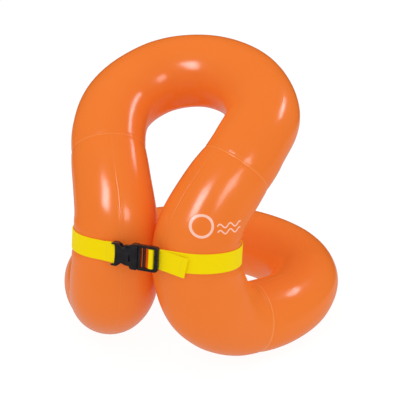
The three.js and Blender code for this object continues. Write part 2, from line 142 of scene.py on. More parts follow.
def print_place():
    """The plane that the print is laid on from: it faces the film to the front right, over the belt."""
    out = pointing(BELT, 0.573, -0.80, 0.177)
    right = Vector((0, 0, 1)).cross(out).normalized()
    return frame_matrix(right, out.cross(right), out, BELT @ Vector((87.3, -37.4, 51.0)))


PRINT_PLACE = print_place()

# ---------------- mesh helpers


def new_object(name, data):
    obj = bpy.data.objects.new(name, data)
    bpy.context.scene.collection.objects.link(obj)
    return obj


def mesh_object(name, verts, faces, smooth=True):
    mesh = bpy.data.meshes.new(name)
    mesh.from_pydata([tuple(v) for v in verts], [], [tuple(int(i) for i in f) for f in faces])
    mesh.update()
    if smooth:
        mesh.polygons.foreach_set("use_smooth", [True] * len(mesh.polygons))
    return new_object(name, mesh)


def finish_piece(obj, material, slot, body, *nodes):
    """Gives a piece its material, its body and the CAD nodes that it stands for."""
    obj.data.materials.clear()
    obj.data.materials.append(material)
    if body:
        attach(obj, body)
    if nodes:
        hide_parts(*nodes)
    return obj


def apply_modifiers(obj):
    bpy.context.view_layer.update()
    done = bpy.data.meshes.new_from_object(obj.evaluated_get(bpy.context.evaluated_depsgraph_get()))
    obj.modifiers.clear()
    old = obj.data
    obj.data = done
    bpy.data.meshes.remove(old)
    return obj


def boolean(obj, tools, operation="DIFFERENCE"):
    for tool in tools:
        modifier = obj.modifiers.new("join", "BOOLEAN")
        modifier.operation = operation
        modifier.solver = "EXACT"
        modifier.object = tool
    apply_modifiers(obj)
    for tool in tools:
        bpy.data.objects.remove(tool)
    return obj


def soften_edges(obj, width):
    """Rounds the sharp edges, width in the mesh's own unit, and shades the flats flat."""
    modifier = obj.modifiers.new("round", "BEVEL")
    modifier.width = width
    modifier.segments = 3
    modifier.limit_method = "ANGLE"
    modifier.angle_limit = math.radians(40)
    modifier.harden_normals = False
    apply_modifiers(obj)
    obj.data.polygons.foreach_set("use_smooth", [True] * len(obj.data.polygons))
    weighted = obj.modifiers.new("normals", "WEIGHTED_NORMAL")
    weighted.keep_sharp = True
    return apply_modifiers(obj)


def place_piece(obj, place):
    obj.data.transform(place)
    return obj


def rounded(points, radius, closed=True):
    """An outline with its corners rounded, each by a short curve no longer than its edges allow."""
    points = [Vector(p) for p in points]
    out = []
    for i, corner in enumerate(points):
        if not closed and i in (0, len(points) - 1):
            out.append(tuple(corner))
            continue
        before, after = points[i - 1], points[(i + 1) % len(points)]
        reach = min(radius, 0.45 * (before - corner).length, 0.45 * (after - corner).length)
        start = corner + (before - corner).normalized() * reach
        end = corner + (after - corner).normalized() * reach
        for t in (0, 0.25, 0.5, 0.75, 1):
            out.append(tuple(start * (1 - t) ** 2 + corner * 2 * t * (1 - t) + end * t * t))
    return out


def prism(name, verts):
    """A straight solid with flat ends, from the points of one end and then of the other."""
    count = len(verts) // 2
    faces = [list(range(count)), list(range(2 * count - 1, count - 1, -1))]
    faces += [(i, i + count, (i + 1) % count + count, (i + 1) % count) for i in range(count)]
    return outward(mesh_object(name, verts, faces, smooth=False))


def extruded(name, outline, low, high):
    """An outline in X and Z made into a plate between two Y values, in mm."""
    return prism(name, [(p[0], y, p[1]) for y in (low, high) for p in outline])


def smooth_step(value):
    """0 below 0 and 1 above 1, with a smooth rise between."""
    value = np.clip(value, 0, 1)
    return value * value * (3 - 2 * value)


def hump(distance, reach):
    """1 at no distance, with a smooth fall to nothing over two or three times the reach."""
    return np.exp(-((distance / reach) ** 2))


def unit_rows(rows):
    return rows / np.linalg.norm(rows, axis=1)[:, None]


def run_along(points):
    """The running length at each of a row of points."""
    return np.concatenate([[0], np.cumsum(np.linalg.norm(np.diff(points, axis=0), axis=1))])


def tube_faces(rows, count):
    """The numbers of a tube's points, row by row, and the faces between them."""
    grid = np.arange(rows * count).reshape(rows, count)
    turned_on = np.roll(grid, -1, 1)
    return grid, np.stack([grid[:-1], turned_on[:-1], turned_on[1:], grid[1:]], -1).reshape(-1, 4)


@contextmanager
def editing(obj):
    """Opens an object's mesh for bmesh work, and writes it back."""
    bm = bmesh.new()
    bm.from_mesh(obj.data)
    yield bm
    bm.to_mesh(obj.data)
    bm.free()


def outward(obj):
    with editing(obj) as bm:
        bmesh.ops.recalc_face_normals(bm, faces=bm.faces)
    return obj


def block(x0, x1, y0, y1, z0, z1):
    return extruded("block", [(x0, z0), (x1, z0), (x1, z1), (x0, z1)], y0, y1)


def bezier(*points, steps=8):
    """Points along a curve of three or four control points, without the first."""
    points = np.array(points, float)
    out = []
    for t in np.linspace(0, 1, steps + 1)[1:]:
        row = points
        while len(row) > 1:
            row = row[:-1] * (1 - t) + row[1:] * t
        out.append(tuple(row[0]))
    return out


def arc(x, y, radius, start, end, steps=4):
    """Points along a circle about (x, y); angles in degrees."""
    return [(x + radius * math.cos(a), y + radius * math.sin(a))
            for a in np.radians(np.linspace(start, end, steps + 1))]


def mirrored(upper):
    """A closed outline from the points of its upper half."""
    return list(upper) + [(x, -z) for x, z in reversed(upper)]


def rod(x, y, radius, half_length, sides=32):
    """A round bar along Z."""
    angles = [2 * math.pi * i / sides for i in range(sides)]
    return prism("rod", [(x + radius * math.cos(a), y + radius * math.sin(a), z)
                         for z in (-half_length, half_length) for a in angles])


def turned(name, profile, segments=56):
    """A turned piece about Z from a closed profile of (radius, height), in mm."""
    count = len(profile)
    angles = np.linspace(0, 2 * math.pi, segments, endpoint=False)
    verts = [(max(r, 1e-4) * math.cos(a), max(r, 1e-4) * math.sin(a), z)
             for a in angles for r, z in profile]
    here = np.arange(segments * count).reshape(segments, count)
    there = np.roll(here, -1, 0)
    faces = np.stack([here, there, np.roll(there, -1, 1), np.roll(here, -1, 1)], -1).reshape(-1, 4)
    obj = mesh_object(name, verts, faces)
    with editing(obj) as bm:
        bmesh.ops.remove_doubles(bm, verts=bm.verts, dist=1e-3)
        bmesh.ops.recalc_face_normals(bm, faces=bm.faces)
    return obj


def joined(name, objs):
    """Several meshes as one piece."""
    bm = bmesh.new()
    for obj in objs:
        bm.from_mesh(obj.data)
    mesh = bpy.data.meshes.new(name)
    bm.to_mesh(mesh)
    bm.free()
    for obj in objs:
        bpy.data.objects.remove(obj)
    return new_object(name, mesh)


# ---------------- materials


def new_material(name):
    material = bpy.data.materials.new(name)
    material.use_nodes = True
    tree = material.node_tree
    return material, tree, tree.nodes["Principled BSDF"]


def set_node(made, **values):
    """Sets up a node; a key with a capital letter is an input's name."""
    for key, value in values.items():
        if key[0].isupper():
            made.inputs[key.replace("_", " ")].default_value = value
        else:
            setattr(made, key, value)
    return made


def node(tree, kind, **values):
    return set_node(tree.nodes.new(kind), **values)


def wire(source, output, target, name):
    """Joins a node's output to another node's input."""
    source.id_data.links.new(source.outputs[output], target.inputs[name])


def noise_node(tree, scale, detail, roughness=0.5):
    where = node(tree, "ShaderNodeTexCoord")
    made = node(tree, "ShaderNodeTexNoise", Scale=scale, Detail=detail, Roughness=roughness)
    wire(where, "Object", made, "Vector")
    return made


def ramp(source, low, high, colours):
    """Colours between two, by a node's output that is low to high."""
    made = node(source.id_data, "ShaderNodeValToRGB")
    made.color_ramp.elements[0].position, made.color_ramp.elements[1].position = low, high
    made.color_ramp.elements[0].color, made.color_ramp.elements[1].color = ((*c, 1) for c in colours)
    source.id_data.links.new(source.outputs[0], made.inputs["Fac"])
    return made


def bumps(shader, *layers):
    """Stacks bump layers, each (node that gives the height, distance in metres, strength)."""
    last = None
    for height, distance, strength in layers:
        made = node(shader.id_data, "ShaderNodeBump", Strength=strength, Distance=distance)
        shader.id_data.links.new(height.outputs[0], made.inputs["Height"])
        if last:
            wire(last, "Normal", made, "Normal")
        last = made
    wire(last, "Normal", shader, "Normal")


def vary(source, shader, name, low, high):
    """Lets a noise move one of a shader's inputs between two values."""
    span = node(source.id_data, "ShaderNodeMapRange", To_Min=low, To_Max=high)
    wire(source, "Fac", span, "Value")
    wire(span, "Result", shader, name)


def arithmetic(tree, operation, *values):
    """The output of a math node, whose inputs are numbers or other nodes' outputs."""
    made = node(tree, "ShaderNodeMath", operation=operation)
    for socket, value in zip(made.inputs, values):
        if isinstance(value, bpy.types.NodeSocket):
            tree.links.new(value, socket)
        else:
            socket.default_value = value
    return made.outputs[0]


def film_material(name, deep, bright, gloss_low=0.15, gloss_high=0.26):
    """Glossy plasticised PVC film: nearly even colour, paler along the welds (their own colour plus a
    painted highlight on their ridges), a painted glow, a faint orange peel.
    """
    material, tree, shader = new_material(name)
    clouds = noise_node(tree, 9.0, 2.0)
    colour = ramp(clouds, 0.3, 0.7, (deep, bright))
    weld = node(tree, "ShaderNodeAttribute", attribute_name="weld")
    paler_and_highlight = node(tree, "ShaderNodeMix", data_type="RGBA", B=(0.9, 0.33, 0.1, 1))
    # painted highlight: the welds are lightened, partly as their own paler colour, partly as a highlight on
    # their ridges
    wire(weld, "Fac", paler_and_highlight, "Factor")
    wire(colour, "Color", paler_and_highlight, "A")
    wire(paler_and_highlight, "Result", shader, "Base Color")
    smudge = noise_node(tree, 45.0, 4.0, 0.6)
    vary(smudge, shader, "Roughness", gloss_low, gloss_high)
    # painted glow: the film emits a faint orange light of its own, standing in for light shining through it,
    # which lifts its shaded hollows
    set_node(shader, IOR=1.27, Emission_Color=(1.0, 0.1, 0.0, 1), Emission_Strength=PAINTED_GLOW)
    peel = noise_node(tree, 900.0, 2.0)
    waves = noise_node(tree, 60.0, 2.0)
    bumps(shader, (waves, 0.0004, 0.2), (peel, 0.00003, 0.4))
    return material


def webbing_material():
    """Polyester webbing: a twill of fine yarns from the piece's own along and across coordinates."""
    material, tree, shader = new_material("yellow_webbing")
    where = node(tree, "ShaderNodeUVMap", uv_map="along")
    parts = node(tree, "ShaderNodeSeparateXYZ")
    wire(where, "UV", parts, "Vector")
    waves = []
    for yarns_along in (3.1, -3.1):
        lean = arithmetic(tree, "MULTIPLY", parts.outputs["X"], yarns_along)
        phase = arithmetic(tree, "MULTIPLY_ADD", parts.outputs["Y"], 3.6, lean)
        waves.append(arithmetic(tree, "SINE", phase))
    weave = arithmetic(tree, "MULTIPLY", *waves)
    height = node(tree, "ShaderNodeMapRange", From_Min=-1.0, From_Max=1.0)
    tree.links.new(weave, height.inputs["Value"])
    # painted shade: the weave's low points are coloured darker, following its bump height
    colour = ramp(height, 0.0, 0.8, ((0.92, 0.65, 0.0), (1.0, 0.8, 0.0)))
    wire(colour, "Color", shader, "Base Color")
    fuzz = noise_node(tree, 700.0, 3.0)
    bumps(shader, (height, 0.0002, 0.8), (fuzz, 0.0001, 0.4))
    set_node(shader, Roughness=0.7, IOR=1.12, Sheen_Weight=0.02, Sheen_Roughness=0.4)
    return material


def plastic_material(name, colour, worn, roughness, ior=1.45):
    """Moulded plastic: fine spark-eroded grain, a little lighter where handling has rubbed it."""
    material, tree, shader = new_material(name)
    rub = noise_node(tree, 120.0, 4.0, 0.65)
    shade = ramp(rub, 0.45, 0.75, (colour, worn))
    wire(shade, "Color", shader, "Base Color")
    vary(rub, shader, "Roughness", roughness - 0.06, roughness + 0.1)
    set_node(shader, IOR=ior)
    grain = noise_node(tree, 2600.0, 2.0)
    bumps(shader, (grain, 0.00004, 0.5))
    return material


def milky_material():
    """Soft unpigmented PVC of the valves: whitish, slightly see-through."""
    material, tree, shader = new_material("milky_pvc")
    clouds = noise_node(tree, 160.0, 3.0)
    shade = ramp(clouds, 0.35, 0.7, ((0.8, 0.74, 0.66), (0.88, 0.84, 0.78)))
    wire(shade, "Color", shader, "Base Color")
    set_node(shader, Roughness=0.28, Subsurface_Weight=0.35, Subsurface_Radius=(1.0, 0.7, 0.5),
             Subsurface_Scale=0.002)
    grain = noise_node(tree, 1500.0, 2.0)
    bumps(shader, (grain, 0.00003, 0.5))
    return material


PAINTED_GLOW = 0.09  # painted glow: an even orange emission on the film, standing in for light that comes through it from inside the tube, lifting its shade
FILM = film_material("orange_film", (0.815, 0.192, 0.026), (0.845, 0.207, 0.031))
FILM_WELD = film_material("orange_weld", (0.78, 0.145, 0.005), (0.82, 0.17, 0.008), 0.24, 0.38)
WEBBING = webbing_material()
THREAD = plastic_material("yellow_thread", (0.72, 0.56, 0.0), (0.86, 0.72, 0.05), 0.6)
BLACK = plastic_material("black_acetal", (0.013, 0.011, 0.012), (0.022, 0.019, 0.021), 0.3, 1.5)
MILKY = milky_material()
PRINT = film_material("white_print", (0.92, 0.56, 0.44), (0.95, 0.62, 0.5), 0.2, 0.35)

# ---------------- centre line of the tube


def right_half():
    """Centre line points and radii from the collar's top to the ring's back."""
    thirds = np.array([0, 1 / 3, 2 / 3, 1])
    angle = COLLAR_HALF_ANGLE * thirds
    back = COLLAR_ARC * np.cos(angle)
    collar = np.column_stack([COLLAR_ARC * np.sin(angle),
                              COLLAR_CENTRE_Y + back * math.cos(COLLAR_TILT),
                              COLLAR_CENTRE_Z + back * math.sin(COLLAR_TILT)])
    angle = RING_HALF_ANGLE * thirds[::-1]
    ring = np.column_stack([RING_HALF_WIDTH * np.sin(angle),
                            RING_CENTRE_Y + RING_HALF_DEPTH * np.cos(angle),
                            np.full(4, RING_TUBE)])
    points = np.vstack([collar, LEG_POINTS, ring]) + SHIFT
    radii = np.concatenate([np.full(4, COLLAR_TUBE), LEG_TUBES, np.full(4, RING_TUBE)])
    return points, radii


HALF_POINTS, HALF_RADII = right_half()
POINTS = np.vstack([HALF_POINTS, HALF_POINTS[-2:0:-1] * [-1, 1, 1]])
RADII = np.concatenate([HALF_RADII, HALF_RADII[-2:0:-1]])


def hermite(values, slopes_in, slopes_out, weight):
    """Cubic between two rows of values; returns the points and their derivatives."""
    start, end = values
    c2 = -3 * start + 3 * end - 2 * slopes_in - slopes_out
    c3 = 2 * start - 2 * end + slopes_in + slopes_out
    here = start + slopes_in * weight + c2 * weight**2 + c3 * weight**3
    return here, slopes_in + 2 * c2 * weight + 3 * c3 * weight**2


def centre_line(stations):
    """Points, directions and radii at the stations: the CAD part's centripetal Catmull-Rom curve."""
    stations = np.asarray(stations, float)
    index = np.floor(stations).astype(int)
    weight = (stations - index)[:, None]
    p0, p1, p2, p3 = (POINTS[(index + k) % STATIONS] for k in (-1, 0, 1, 2))
    d0, d1, d2 = (np.sqrt(np.linalg.norm(b - a, axis=1))[:, None]
                  for a, b in ((p0, p1), (p1, p2), (p2, p3)))
    slope_in = ((p1 - p0) / d0 - (p2 - p0) / (d0 + d1) + (p2 - p1) / d1) * d1
    slope_out = ((p2 - p1) / d1 - (p3 - p1) / (d1 + d2) + (p3 - p2) / d2) * d1
    points, slopes = hermite((p1, p2), slope_in, slope_out, weight)
    r0, r1, r2, r3 = (RADII[(index + k) % STATIONS][:, None] for k in (-1, 0, 1, 2))
    radii, _ = hermite((r1, r2), (r2 - r0) / 2, (r3 - r1) / 2, weight)
    return points, unit_rows(slopes), radii[:, 0]


def carried_frames(stations):
    """Side vectors carried along the right half without twist, from straight up at station 0."""
    guide = np.union1d(np.arange(0, STATIONS / 2 + 0.01, 0.02), stations)
    _, along, _ = centre_line(guide)
    side, sides = np.array([0.0, 0, 1]), []
    for heading in along:
        side = side - heading * (side @ heading)
        side /= np.linalg.norm(side)
        sides.append(side)
    return np.array(sides)[np.searchsorted(guide, stations)]


def tube_frames(stations):
    """Centres, directions, side and across vectors and radii, with the left half a mirror image."""
    stations = np.asarray(stations, float)
    left = (stations < 0) | (stations > STATIONS / 2)
    twins = np.where(stations < 0, -stations, np.where(left, STATIONS - stations, stations))
    order = np.unique(twins)
    centre, along, radius = centre_line(order)
    side = carried_frames(order)
    across = np.cross(along, side)
    pick = np.searchsorted(order, twins)
    flip = np.where(left[:, None], [-1, 1, 1], [1, 1, 1])
    heading = along[pick] * flip * np.where(left, -1, 1)[:, None]
    return centre[pick] * flip, heading, side[pick] * flip, across[pick] * flip, radius[pick]


# ---------------- surface of the tube

WAVES = np.random.default_rng(7)


def wave_field(size, count=24):
    """A smooth uneven field over space: a sum of sines with the given wave length in mm."""
    directions = WAVES.normal(size=(count, 3))
    directions *= (2 * math.pi / size) / np.linalg.norm(directions, axis=1)[:, None]
    directions *= WAVES.uniform(0.6, 1.5, (count, 1))
    phases = WAVES.uniform(0, 2 * math.pi, count)
    return lambda points: np.sin(points @ directions.T + phases).sum(-1) / math.sqrt(count)


BROAD, MIDDLE = wave_field(90), wave_field(26)
BELT_TURN = np.array(BELT.to_3x3()) / MM
BELT_ORIGIN = np.array(BELT.translation) / MM


def to_belt(points):
    return (points - BELT_ORIGIN) @ BELT_TURN


def from_belt(points):
    return points @ BELT_TURN.T + BELT_ORIGIN


def belt_reach(angle):
    """Distance from a leg's axis to the middle of the webbing, by the angle from the outer side."""
    return BELT_SIDE_LINE * BELT_LINE / np.hypot(BELT_LINE * np.cos(angle), BELT_SIDE_LINE * np.sin(angle))


def squeeze_by_belt(points):
    """Draws a leg in to the belt's inner face, and lets it swell a little above and below."""
    local = to_belt(points)
    sign = np.where(points[..., 0] >= 0, 1, -1)
    x = local[..., 0] * sign - LEG_AXIS_X
    angle, reach = np.arctan2(local[..., 1], x), np.hypot(x, local[..., 1])
    outer = smooth_step((x + 14) / 10)
    height = np.abs(local[..., 2])
    held = smooth_step((HELD_REACH - height) / HELD_FADE)
    bulge = BULGE * hump(height - BULGE_HEIGHT, BULGE_REACH)
    inner_face = belt_reach(angle) - WEB / 2 - 0.15
    target = reach + outer * (held * (inner_face - reach) + (1 - held) * bulge)
    near = height < BULGE_HEIGHT + 4 * BULGE_REACH
    scale = np.where(near, target / np.maximum(reach, 1), 1)
    local[..., 0] = (LEG_AXIS_X + x * scale) * sign
    local[..., 1] *= scale
    return from_belt(local)


def press_legs(points, stations):
    """The legs swell against each other at the pinch and meet in a flat."""
    push = PINCH_PUSH * hump(stations - PINCH_STATION, PINCH_REACH)[:, None]
    inner = np.clip(1 - np.abs(points[..., 0]) / 25, 0, 1)
    side = np.sign(points[..., 0])
    flat = np.maximum(np.abs(points[..., 0]) - push * inner, PINCH_GAP)
    points[..., 0] = side * np.where(inner > 0, flat, np.abs(points[..., 0]))
    return points


def sleeve_stations(first, last):
    """Stations every 2.4 mm, closer by the cross welds, the run to each, and the sleeve's length."""
    fine = np.linspace(first, last, 4001)
    centres, _, _ = centre_line(fine % STATIONS)
    run = run_along(centres)
    length, close = run[-1], np.geomspace(0.1, 9, 22)
    marks = np.unique(np.concatenate([np.arange(0, length, 2.4), close, length - close, [length]]))
    marks = marks[np.concatenate([[True], np.diff(marks) > 0.05])]
    marks[-1] = length
    return np.interp(marks, run, fine), marks, length


def weld_profile(distance, angles, phase):
    """Radius change by a cross weld: a thin proud line in a shallow neck, with small puckers beside it."""
    neck = -SWELL * hump(distance, 14) - 0.7 * hump(distance, 3)
    line = 0.3 * hump(distance, 0.8)
    beside = np.exp(-np.abs(distance) / 7) * (1 - hump(distance, 1.2))
    pleats = np.sin(angles * 37 + phase) * 0.6 + np.sin(angles * 23 + 2 * phase) * 0.4
    return (neck + line)[:, None] + 0.22 * beside[:, None] * pleats[None, :]


def weld_paleness_and_highlight(station):
    """How strongly a cross weld is painted pale: partly the weld's own paler colour, partly a painted
    highlight on its ridge, strongest on the ring's two welds.
    """
    from_top = min(station % STATIONS, -station % STATIONS)
    return 0.4 if from_top < PINCH_STATION else 1.0


def sink_by_valve(points, name):
    """The stiff flange of a valve holds the film round it in a shallow dish."""
    place = valve_frame(name)
    out = np.array(place.to_3x3() @ Vector((0, 0, 1))) / MM
    reach = np.linalg.norm(points - np.array(place.translation) / MM, axis=-1)
    return points - out * VALVE_DISH * hump(reach, VALVE_DISH_REACH)[..., None]


def around(seam_angle, sides=118):
    """Angles round the tube, closer by the lengthwise weld."""
    close = np.array([0.25, 0.5, 0.8, 1.2, 1.8, 2.6]) / 50
    extra = seam_angle + np.concatenate([-close, [0], close])
    even = seam_angle + np.linspace(0.06, 2 * math.pi - 0.06, sides)
    return np.sort(np.concatenate([even, extra + 2 * math.pi * (extra < seam_angle)]))


def sleeve(name, first, last, seam_angle, on_legs, *nodes):
    """One sleeve of film between two cross welds, with its welds, unevenness and creases."""
    stations, run, length = sleeve_stations(first, last)
    centre, along, side, across, radius = tube_frames(stations)
    angles = around(seam_angle)
    cos, sin = (f(angles)[None, :, None] for f in (np.cos, np.sin))
    radial = cos * side[:, None] + sin * across[:, None]
    base = centre[:, None] + radial * radius[:, None, None]
    one_side = base * np.where(base[..., :1] > 0, [-1, 1, 1], [1, 1, 1])
    grow = SWELL + UNEVENNESS * BROAD(one_side) + RIPPLE * MIDDLE(base)
    grow += weld_profile(run, angles, 0.7) + weld_profile(length - run, angles, 2.1)
    turn = np.gradient(along, run, axis=0)
    inner = np.clip((radial @ turn[:, :, None])[..., 0] * radius[:, None], 0, 1)
    phase = 2 * math.pi * run / CREASE_SPACING + 1.5 * np.sin(run / 37)
    creases = 0.5 + 0.5 * np.sin(phase)[:, None]
    grow -= CREASE_DEPTH * inner**3 * creases * (0.6 + 0.4 * MIDDLE(base))
    off_seam = (angles - seam_angle)[None, :] * radius[:, None]
    off_seam = np.minimum(np.abs(off_seam), np.abs(off_seam - 2 * math.pi * radius[:, None]))
    grow += 0.4 * hump(off_seam, 0.55) - 0.25 * hump(off_seam, 2.2)
    skin = base + radial * grow[..., None]
    if on_legs:
        skin = press_legs(skin, np.where(stations > STATIONS / 2, STATIONS - stations, stations))
        skin = squeeze_by_belt(skin)
    skin = sink_by_valve(skin, name)
    skin[..., 2] = np.maximum(skin[..., 2], 0.05)
    _, faces = tube_faces(*skin.shape[:2])
    obj = place_piece(mesh_object(f"{name}_film", skin.reshape(-1, 3), faces), MM_TO_METRES)
    # the pale lines along the welds: partly the welds' own colour, partly a painted highlight on their
    # ridges
    to_weld = np.minimum(run, length - run)[:, None]
    ends = np.where(run < length / 2, weld_paleness_and_highlight(first), weld_paleness_and_highlight(last))[:, None]
    pale_and_highlight = np.maximum(ends * hump(to_weld, 0.7), 0.13 * hump(off_seam, 0.6))
    obj.data.attributes.new("weld", "FLOAT", "POINT").data.foreach_set("value", pale_and_highlight.ravel())
    return finish_piece(obj, FILM, "pvc_film", "root", *nodes)


def build_tube():
    """The four sleeves, by the names of their valves; the bulkheads inside go with the loops."""
    top, low = COLLAR_SEAM, RING_SEAM
    spans = {
        "collar": (-top, top, -2.2, False, "right_collar_bulkhead", "left_collar_bulkhead"),
        "right_leg": (top, low, LEG_SEAM_ANGLE, True),
        "left_leg": (STATIONS - low, STATIONS - top, LEG_SEAM_ANGLE, True),
        "waist_ring": (low, STATIONS - low, -2.4, False, "right_ring_bulkhead", "left_ring_bulkhead"),
    }
    return {name: sleeve(name, *span[:4], f"{name}_chamber", *span[4:])
            for name, span in spans.items()}


def angle_facing(station, heading):
    """The angle round the tube whose surface faces a direction best."""
    _, _, side, across, _ = tube_frames([station])
    return math.atan2(across[0] @ heading, side[0] @ heading)


LEG_SEAM_ANGLE = angle_facing(4.3, np.array([-0.5, -0.87, 0]))

# ---------------- webbing


def resampled(points, step=1.2):
    """A smooth row of points a fixed step apart along a polyline, and its running length."""
    points = np.array(points, float)
    run = run_along(points)
    marks = np.linspace(0, run[-1], max(int(run[-1] / step), 2) + 1)
    return np.column_stack([np.interp(marks, run, points[:, k]) for k in range(points.shape[1])]), marks


def web_section():
    """Half thickness of the webbing at points across it: cords along it, and a firmer rounded selvedge."""
    half = WEB_WIDTH / 2
    edge = half * np.array([0.975, 0.99, 1.0])
    across = np.concatenate([-edge[::-1], np.linspace(-half * 0.955, half * 0.955, 61), edge])
    near = np.clip((np.abs(across) / half - 0.955) / 0.045, 0, 1)
    cords = 0.045 * np.cos(2 * math.pi * across / 1.85)
    selvedge = 0.1 * hump(np.abs(across) - half * 0.93, 0.7)
    return across, (WEB / 2 + cords + selvedge) * np.sqrt(1 - near**2)


def webbing_strip(name, centres, fronts, across_axes):
    """A strip of webbing in mm, thick along the fronts and WEB_WIDTH wide along the across axes."""
    across, half = web_section()
    offsets = np.concatenate([across, across[-2:0:-1]])
    depths = np.concatenate([half, -half[-2:0:-1]])
    rows, count = len(centres), len(offsets)
    verts = (centres[:, None] + offsets[None, :, None] * across_axes[:, None]
             + depths[None, :, None] * fronts[:, None]).reshape(-1, 3)
    grid, quads = tube_faces(rows, count)
    faces = quads.tolist() + [grid[0].tolist(), grid[-1][::-1].tolist()]
    obj = outward(mesh_object(name, verts, faces))
    coords = np.column_stack([np.repeat(run_along(centres), count), np.tile(offsets, rows)])
    corners = np.zeros(len(obj.data.loops), int)
    obj.data.loops.foreach_get("vertex_index", corners)
    layer = obj.data.uv_layers.new(name="along")
    layer.data.foreach_set("uv", coords[corners].ravel())
    return obj


def fronts_of(path):
    """Unit vectors square to a path in X and Y, to its right, as rows in 3-D."""
    slope = unit_rows(np.gradient(path, axis=0))
    return np.column_stack([slope[:, 1], -slope[:, 0], np.zeros(len(path))])


def upright_strip(name, points):
    """Webbing on edge along a path in the belt's X and Y."""
    path, _ = resampled(points)
    centres = np.column_stack([path, np.zeros(len(path))])
    upright = np.tile([0.0, 0.0, 1.0], (len(path), 1))
    return webbing_strip(name, centres, fronts_of(path), upright)


def leg_arc(side, start, end, count=60):
    """The belt's line round a leg in its own plane; angles in degrees, 0 towards +X."""
    angles = np.radians(np.linspace(start, end, count))
    return [(side * LEG_AXIS_X + BELT_SIDE_LINE * math.cos(a), BELT_LINE * math.sin(a))
            for a in angles]


def stitches(rows):
    """Thread showing on the webbing: a short raised float for each stitch of (x, y, z, lean)."""
    ring = [(math.cos(a), math.sin(a)) for a in np.linspace(0, 2 * math.pi, 8, endpoint=False)]
    verts, faces = [], []
    for x, y, z, dx, dz in rows:
        base = len(verts)
        for share in (-1, -0.6, 0, 0.6, 1):
            thick = 0.22 * math.sqrt(max(1 - share * share, 0.04))
            verts += [(x + share * dx + thick * a * dz, y + thick * b, z + share * dz - thick * a * dx)
                      for a, b in ring]
        faces += (tube_faces(5, 8)[1] + base).tolist()
        faces += [list(range(base, base + 8)), list(range(base + 39, base + 31, -1))]
    return outward(mesh_object("thread", verts, faces))


def belt_main():
    """From the right leg's front round both legs, over the female half's bar and back under itself."""
    start = -90 + math.degrees((BELT_START_X - LEG_AXIS_X) / BELT_SIDE_LINE)
    wrap = BAR_RADIUS + 0.35 + WEB / 2
    turn = arc(BAR_X, BAR_Y, wrap, -100, 90, 15)
    rise = rounded([(-52.5, -BELT_LINE), (-46, -BELT_LINE - LAYER), (-38, -BELT_LINE - 3.2), turn[0]], 5,
                   closed=False)
    end = [(-36, -BELT_LINE - 0.05), (-45, -BELT_LINE + 0.15)]
    path = leg_arc(1, start, 90) + leg_arc(-1, 90, 266, 80)
    path += rise[1:-1] + turn + end
    web = upright_strip("belt_webbing_main", path)
    seam = []
    for x in (-42.6, -39.2):
        front = np.interp(x, [-46, -38], [-BELT_LINE - LAYER, -BELT_LINE - 3.2]) - WEB / 2 - 0.06
        seam += [(x, front, z, 0.0, 0.75) for z in np.arange(-11, 11.1, 2.0)]
    return web, stitches(seam)


def tail_drop(x):
    """How far the tail has sunk below the belt's middle at an X past the lock."""
    return -math.tan(TAIL_DROOP) * np.clip(x - LAST_SLOT_END - 5, 0, None)


def tail_frames(points):
    """Centres, fronts and across axes of the tail, which droops in the belt's plane past the lock."""
    path, run = resampled(points, 0.9)
    fronts = fronts_of(path)
    start = run[np.argmax(path[:, 0] > LAST_SLOT_END)]
    angle = TAIL_DROOP * smooth_step((path[:, 0] - LAST_SLOT_END) / 14) * (run >= start)
    centres = np.column_stack([path, tail_drop(path[:, 0]) * (run >= start)])
    across = np.column_stack([np.sin(angle), np.zeros(len(path)), np.cos(angle)])
    return centres, fronts, across


def belt_lock_and_tail():
    """Up over the ladder lock's grip bar, down behind its end bar, and the tail, hemmed to its back."""
    over, under = BUCKLE_Y - 2.05, -BELT_LINE - LAYER
    loop = [(LOOP_X, -BELT_LINE - WEB / 2 - 0.3), (LOOP_X, over), (19.4, over), (19.8, under + 0.1),
            (26, under)]
    fold, lift = 0.9, 2.1
    far = TAIL_END_X - fold - WEB / 2
    turn = [(far + fold * math.sin(a), under - lift + fold - fold * math.cos(a))
            for a in np.linspace(0.3, math.pi, 8)]
    path = rounded(loop, 1.6, closed=False)
    path += [(36, under - 0.15), (46, under - 0.9), (far, under - lift)] + turn
    path.append((TAIL_END_X - HEM, under - lift + 2 * fold - 0.1))
    web = webbing_strip("belt_webbing_tail", *tail_frames(path))
    seam = []
    x = TAIL_END_X - HEM + 1.6
    for z in np.arange(-10.8, 10.9, 2.0):
        drop = tail_drop(x) + z * math.cos(TAIL_DROOP)
        lean = z * math.sin(TAIL_DROOP)
        face = np.interp(x, [46, far], [under - 0.9, under - lift]) - WEB / 2 - 0.05
        seam.append((x + lean, face, drop, 0.75 * math.sin(TAIL_DROOP), 0.75 * math.cos(TAIL_DROOP)))
    return web, stitches(seam)


def build_belt():
    main, seam = belt_main()
    finish_piece(place_piece(main, BELT), WEBBING, "webbing", "root", "belt_webbing")
    finish_piece(place_piece(seam, BELT), THREAD, "webbing", "root").name = "belt_main_stitching"
    front = [(BELT_START_X + 0.4, -BELT_LINE + 0.05), (LEG_AXIS_X, -BELT_LINE), (LOOP_X + 2.2, -BELT_LINE)]
    front += [(LOOP_X, -BELT_LINE - 1.2), (LOOP_X, -BELT_LINE - 2)]
    run = upright_strip("belt_webbing_front", rounded(front, 2, closed=False))
    finish_piece(place_piece(run, BELT), WEBBING, "webbing", None, "belt_front_run")
    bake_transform(run)
    tail, hem = belt_lock_and_tail()
    finish_piece(place_piece(tail, BELT), WEBBING, "webbing", "male_half", "belt_tail")
    finish_piece(place_piece(hem, BELT), THREAD, "webbing", "male_half").name = "belt_hem_stitching"


# ---------------- buckle


def plastic_piece(obj, name, round_by, body, node_name):
    obj.name = name
    soften_edges(obj, round_by)
    return finish_piece(place_piece(obj, BELT), BLACK, "buckle_plastic", body, node_name)


